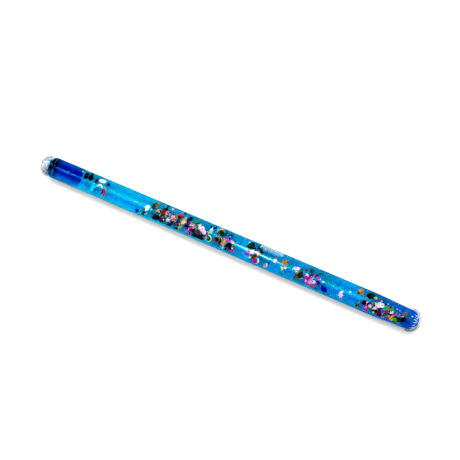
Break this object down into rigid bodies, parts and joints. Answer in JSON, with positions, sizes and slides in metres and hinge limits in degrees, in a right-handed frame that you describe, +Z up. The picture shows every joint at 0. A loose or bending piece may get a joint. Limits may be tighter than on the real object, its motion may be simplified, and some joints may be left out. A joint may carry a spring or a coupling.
{
  "type": "rainstick",
  "caption": "Sealed clear tube with domed ends, filled with blue liquid in which foil confetti drifts from end to end.",
  "frame": {"origin": "middle of the tube at the surface it lies on", "axes": "+X along the tube from the filling end to the closed end, +Z up from the flat it rests on"},
  "size_m": [0.317, 0.0166, 0.0167],
  "materials": {
    "amber": "metallised foil, shiny",
    "black": "metallised foil, shiny",
    "blush": "metallised foil, shiny",
    "bronze": "metallised foil, shiny",
    "clear": "clear, polished",
    "clear_cap": "clear, polished",
    "crimson": "metallised foil, shiny",
    "cyan": "metallised foil, shiny",
    "emerald": "metallised foil, shiny",
    "forest": "metallised foil, shiny",
    "gold": "metallised foil, shiny",
    "ice": "metallised foil, shiny",
    "indigo": "metallised foil, shiny",
    "lime": "metallised foil, shiny",
    "magenta": "metallised foil, shiny",
    "mint": "metallised foil, shiny",
    "moss": "metallised foil, shiny",
    "navy": "metallised foil, shiny",
    "olive": "metallised foil, shiny",
    "peach": "metallised foil, shiny",
    "pearl": "metallised foil, shiny",
    "plum": "metallised foil, shiny",
    "red": "metallised foil, shiny",
    "rose": "metallised foil, shiny",
    "teal": "metallised foil, shiny",
    "violet": "metallised foil, shiny"
  },
  "bodies": {
    "rainstick_tube": {"tube": "clear", "right_end_cap": "clear_cap", "left_end_cap": "clear_cap", "filler_stopper": "clear_cap"},
    "chevron_lime": {"chevron_lime": "lime"},
    "crescent_indigo": {"crescent_indigo": "indigo"},
    "crescent_pearl": {"crescent_pearl": "pearl"},
    "crescent_red": {"crescent_red": "red"},
    "disc_black": {"disc_black": "black"},
    "disc_black_2": {"disc_black_2": "black"},
    "disc_bronze": {"disc_bronze": "bronze"},
    "flower_blush": {"flower_blush": "blush"},
    "flower_magenta": {"flower_magenta": "magenta"},
    "heart_bronze": {"heart_bronze": "bronze"},
    "heart_emerald": {"heart_emerald": "emerald"},
    "heart_emerald_2": {"heart_emerald_2": "emerald"},
    "hexagon_amber": {"hexagon_amber": "amber"},
    "hexagon_bronze": {"hexagon_bronze": "bronze"},
    "hexagon_forest": {"hexagon_forest": "forest"},
    "hexagon_gold": {"hexagon_gold": "gold"},
    "hexagon_moss": {"hexagon_moss": "moss"},
    "leaf_blush": {"leaf_blush": "blush"},
    "leaf_crimson": {"leaf_crimson": "crimson"},
    "leaf_crimson_2": {"leaf_crimson_2": "crimson"},
    "leaf_forest": {"leaf_forest": "forest"},
    "leaf_navy": {"leaf_navy": "navy"},
    "leaf_navy_2": {"leaf_navy_2": "navy"},
    "oval_pearl": {"oval_pearl": "pearl"},
    "oval_pearl_2": {"oval_pearl_2": "pearl"},
    "oval_pearl_3": {"oval_pearl_3": "pearl"},
    "ribbon_blush": {"ribbon_blush": "blush"},
    "ring_gold": {"ring_gold": "gold"},
    "ring_mint": {"ring_mint": "mint"},
    "star_amber": {"star_amber": "amber"},
    "star_amber_2": {"star_amber_2": "amber"},
    "star_blush": {"star_blush": "blush"},
    "star_emerald": {"star_emerald": "emerald"},
    "star_gold": {"star_gold": "gold"},
    "star_ice": {"star_ice": "ice"},
    "star_navy": {"star_navy": "navy"},
    "star_peach": {"star_peach": "peach"},
    "star_peach_2": {"star_peach_2": "peach"},
    "star_pearl": {"star_pearl": "pearl"},
    "star_pearl_2": {"star_pearl_2": "pearl"},
    "star_rose": {"star_rose": "rose"},
    "star_teal": {"star_teal": "teal"},
    "star_violet": {"star_violet": "violet"},
    "teardrop_cyan": {"teardrop_cyan": "cyan"},
    "teardrop_magenta": {"teardrop_magenta": "magenta"},
    "teardrop_olive": {"teardrop_olive": "olive"},
    "teardrop_olive_2": {"teardrop_olive_2": "olive"},
    "triangle_blush": {"triangle_blush": "blush"},
    "triangle_crimson": {"triangle_crimson": "crimson"},
    "triangle_magenta": {"triangle_magenta": "magenta"},
    "triangle_magenta_2": {"triangle_magenta_2": "magenta"},
    "triangle_mint": {"triangle_mint": "mint"},
    "triangle_olive": {"triangle_olive": "olive"},
    "triangle_pearl": {"triangle_pearl": "pearl"},
    "triangle_plum": {"triangle_plum": "plum"},
    "triangle_rose": {"triangle_rose": "rose"}
  },
  "joints": [
    {"name": "chevron_lime_drift", "type": "slide", "parent": "rainstick_tube", "child": "chevron_lime", "axis": [1, 0, 0], "range_m": [-0.1126, 0.1822]},
    {"name": "crescent_indigo_drift", "type": "slide", "parent": "rainstick_tube", "child": "crescent_indigo", "axis": [1, 0, 0], "range_m": [-0.2318, 0.0606]},
    {"name": "crescent_pearl_drift", "type": "slide", "parent": "rainstick_tube", "child": "crescent_pearl", "axis": [1, 0, 0], "range_m": [-0.0428, 0.2505]},
    {"name": "crescent_red_drift", "type": "slide", "parent": "rainstick_tube", "child": "crescent_red", "axis": [1, 0, 0], "range_m": [-0.0461, 0.2471]},
    {"name": "disc_black_drift", "type": "slide", "parent": "rainstick_tube", "child": "disc_black", "axis": [1, 0, 0], "range_m": [-0.0004, 0.2947]},
    {"name": "disc_black_2_drift", "type": "slide", "parent": "rainstick_tube", "child": "disc_black_2", "axis": [1, 0, 0], "range_m": [-0.2117, 0.0821]},
    {"name": "disc_bronze_drift", "type": "slide", "parent": "rainstick_tube", "child": "disc_bronze", "axis": [1, 0, 0], "range_m": [-0.2916, 0.0026]},
    {"name": "flower_blush_drift", "type": "slide", "parent": "rainstick_tube", "child": "flower_blush", "axis": [1, 0, 0], "range_m": [-0.2456, 0.0482]},
    {"name": "flower_magenta_drift", "type": "slide", "parent": "rainstick_tube", "child": "flower_magenta", "axis": [1, 0, 0], "range_m": [-0.2642, 0.0289]},
    {"name": "heart_bronze_drift", "type": "slide", "parent": "rainstick_tube", "child": "heart_bronze", "axis": [1, 0, 0], "range_m": [-0.2574, 0.0359]},
    {"name": "heart_emerald_drift", "type": "slide", "parent": "rainstick_tube", "child": "heart_emerald", "axis": [1, 0, 0], "range_m": [-0.1236, 0.17]},
    {"name": "heart_emerald_2_drift", "type": "slide", "parent": "rainstick_tube", "child": "heart_emerald_2", "axis": [1, 0, 0], "range_m": [-0.2863, 0.0072]},
    {"name": "hexagon_amber_drift", "type": "slide", "parent": "rainstick_tube", "child": "hexagon_amber", "axis": [1, 0, 0], "range_m": [-0.1436, 0.15]},
    {"name": "hexagon_bronze_drift", "type": "slide", "parent": "rainstick_tube", "child": "hexagon_bronze", "axis": [1, 0, 0], "range_m": [-0.0977, 0.1959]},
    {"name": "hexagon_forest_drift", "type": "slide", "parent": "rainstick_tube", "child": "hexagon_forest", "axis": [1, 0, 0], "range_m": [-0.2652, 0.0277]},
    {"name": "hexagon_gold_drift", "type": "slide", "parent": "rainstick_tube", "child": "hexagon_gold", "axis": [1, 0, 0], "range_m": [-0.1451, 0.1485]},
    {"name": "hexagon_moss_drift", "type": "slide", "parent": "rainstick_tube", "child": "hexagon_moss", "axis": [1, 0, 0], "range_m": [-0.1702, 0.1225]},
    {"name": "leaf_blush_drift", "type": "slide", "parent": "rainstick_tube", "child": "leaf_blush", "axis": [1, 0, 0], "range_m": [-0.1866, 0.1081]},
    {"name": "leaf_crimson_drift", "type": "slide", "parent": "rainstick_tube", "child": "leaf_crimson", "axis": [1, 0, 0], "range_m": [-0.0313, 0.2634]},
    {"name": "leaf_crimson_2_drift", "type": "slide", "parent": "rainstick_tube", "child": "leaf_crimson_2", "axis": [1, 0, 0], "range_m": [-0.1539, 0.1391]},
    {"name": "leaf_forest_drift", "type": "slide", "parent": "rainstick_tube", "child": "leaf_forest", "axis": [1, 0, 0], "range_m": [-0.0907, 0.202]},
    {"name": "leaf_navy_drift", "type": "slide", "parent": "rainstick_tube", "child": "leaf_navy", "axis": [1, 0, 0], "range_m": [-0.0287, 0.2659]},
    {"name": "leaf_navy_2_drift", "type": "slide", "parent": "rainstick_tube", "child": "leaf_navy_2", "axis": [1, 0, 0], "range_m": [-0.0785, 0.2156]},
    {"name": "oval_pearl_drift", "type": "slide", "parent": "rainstick_tube", "child": "oval_pearl", "axis": [1, 0, 0], "range_m": [-0.0428, 0.249]},
    {"name": "oval_pearl_2_drift", "type": "slide", "parent": "rainstick_tube", "child": "oval_pearl_2", "axis": [1, 0, 0], "range_m": [-0.0857, 0.2083]},
    {"name": "oval_pearl_3_drift", "type": "slide", "parent": "rainstick_tube", "child": "oval_pearl_3", "axis": [1, 0, 0], "range_m": [-0.2742, 0.0181]},
    {"name": "ribbon_blush_drift", "type": "slide", "parent": "rainstick_tube", "child": "ribbon_blush", "axis": [1, 0, 0], "range_m": [-0.1306, 0.1594]},
    {"name": "ring_gold_drift", "type": "slide", "parent": "rainstick_tube", "child": "ring_gold", "axis": [1, 0, 0], "range_m": [-0.2848, 0.0084]},
    {"name": "ring_mint_drift", "type": "slide", "parent": "rainstick_tube", "child": "ring_mint", "axis": [1, 0, 0], "range_m": [-0.1377, 0.1545]},
    {"name": "star_amber_drift", "type": "slide", "parent": "rainstick_tube", "child": "star_amber", "axis": [1, 0, 0], "range_m": [-0.1755, 0.1175]},
    {"name": "star_amber_2_drift", "type": "slide", "parent": "rainstick_tube", "child": "star_amber_2", "axis": [1, 0, 0], "range_m": [-0.1979, 0.0949]},
    {"name": "star_blush_drift", "type": "slide", "parent": "rainstick_tube", "child": "star_blush", "axis": [1, 0, 0], "range_m": [-0.1073, 0.1853]},
    {"name": "star_emerald_drift", "type": "slide", "parent": "rainstick_tube", "child": "star_emerald", "axis": [1, 0, 0], "range_m": [-0.2814, 0.0117]},
    {"name": "star_gold_drift", "type": "slide", "parent": "rainstick_tube", "child": "star_gold", "axis": [1, 0, 0], "range_m": [-0.1493, 0.1433]},
    {"name": "star_ice_drift", "type": "slide", "parent": "rainstick_tube", "child": "star_ice", "axis": [1, 0, 0], "range_m": [-0.1498, 0.1438]},
    {"name": "star_navy_drift", "type": "slide", "parent": "rainstick_tube", "child": "star_navy", "axis": [1, 0, 0], "range_m": [-0.1192, 0.1738]},
    {"name": "star_peach_drift", "type": "slide", "parent": "rainstick_tube", "child": "star_peach", "axis": [1, 0, 0], "range_m": [-0.1158, 0.1764]},
    {"name": "star_peach_2_drift", "type": "slide", "parent": "rainstick_tube", "child": "star_peach_2", "axis": [1, 0, 0], "range_m": [-0.1908, 0.104]},
    {"name": "star_pearl_drift", "type": "slide", "parent": "rainstick_tube", "child": "star_pearl", "axis": [1, 0, 0], "range_m": [-0.104, 0.1894]},
    {"name": "star_pearl_2_drift", "type": "slide", "parent": "rainstick_tube", "child": "star_pearl_2", "axis": [1, 0, 0], "range_m": [-0.1732, 0.1198]},
    {"name": "star_rose_drift", "type": "slide", "parent": "rainstick_tube", "child": "star_rose", "axis": [1, 0, 0], "range_m": [-0.1007, 0.1929]},
    {"name": "star_teal_drift", "type": "slide", "parent": "rainstick_tube", "child": "star_teal", "axis": [1, 0, 0], "range_m": [-0.2196, 0.0732]},
    {"name": "star_violet_drift", "type": "slide", "parent": "rainstick_tube", "child": "star_violet", "axis": [1, 0, 0], "range_m": [-0.1519, 0.1413]},
    {"name": "teardrop_cyan_drift", "type": "slide", "parent": "rainstick_tube", "child": "teardrop_cyan", "axis": [1, 0, 0], "range_m": [-0.0359, 0.2586]},
    {"name": "teardrop_magenta_drift", "type": "slide", "parent": "rainstick_tube", "child": "teardrop_magenta", "axis": [1, 0, 0], "range_m": [-0.1763, 0.1187]},
    {"name": "teardrop_olive_drift", "type": "slide", "parent": "rainstick_tube", "child": "teardrop_olive", "axis": [1, 0, 0], "range_m": [-0.2101, 0.0843]},
    {"name": "teardrop_olive_2_drift", "type": "slide", "parent": "rainstick_tube", "child": "teardrop_olive_2", "axis": [1, 0, 0], "range_m": [-0.2591, 0.0353]},
    {"name": "triangle_blush_drift", "type": "slide", "parent": "rainstick_tube", "child": "triangle_blush", "axis": [1, 0, 0], "range_m": [-0.209, 0.0837]},
    {"name": "triangle_crimson_drift", "type": "slide", "parent": "rainstick_tube", "child": "triangle_crimson", "axis": [1, 0, 0], "range_m": [-0.0978, 0.196]},
    {"name": "triangle_magenta_drift", "type": "slide", "parent": "rainstick_tube", "child": "triangle_magenta", "axis": [1, 0, 0], "range_m": [-0.1116, 0.182]},
    {"name": "triangle_magenta_2_drift", "type": "slide", "parent": "rainstick_tube", "child": "triangle_magenta_2", "axis": [1, 0, 0], "range_m": [-0.1204, 0.173]},
    {"name": "triangle_mint_drift", "type": "slide", "parent": "rainstick_tube", "child": "triangle_mint", "axis": [1, 0, 0], "range_m": [-0.1369, 0.1571]},
    {"name": "triangle_olive_drift", "type": "slide", "parent": "rainstick_tube", "child": "triangle_olive", "axis": [1, 0, 0], "range_m": [-0.0899, 0.2037]},
    {"name": "triangle_pearl_drift", "type": "slide", "parent": "rainstick_tube", "child": "triangle_pearl", "axis": [1, 0, 0], "range_m": [-0.224, 0.0693]},
    {"name": "triangle_plum_drift", "type": "slide", "parent": "rainstick_tube", "child": "triangle_plum", "axis": [1, 0, 0], "range_m": [-0.1313, 0.1621]},
    {"name": "triangle_rose_drift", "type": "slide", "parent": "rainstick_tube", "child": "triangle_rose", "axis": [1, 0, 0], "range_m": [-0.2195, 0.0724]}
  ]
}
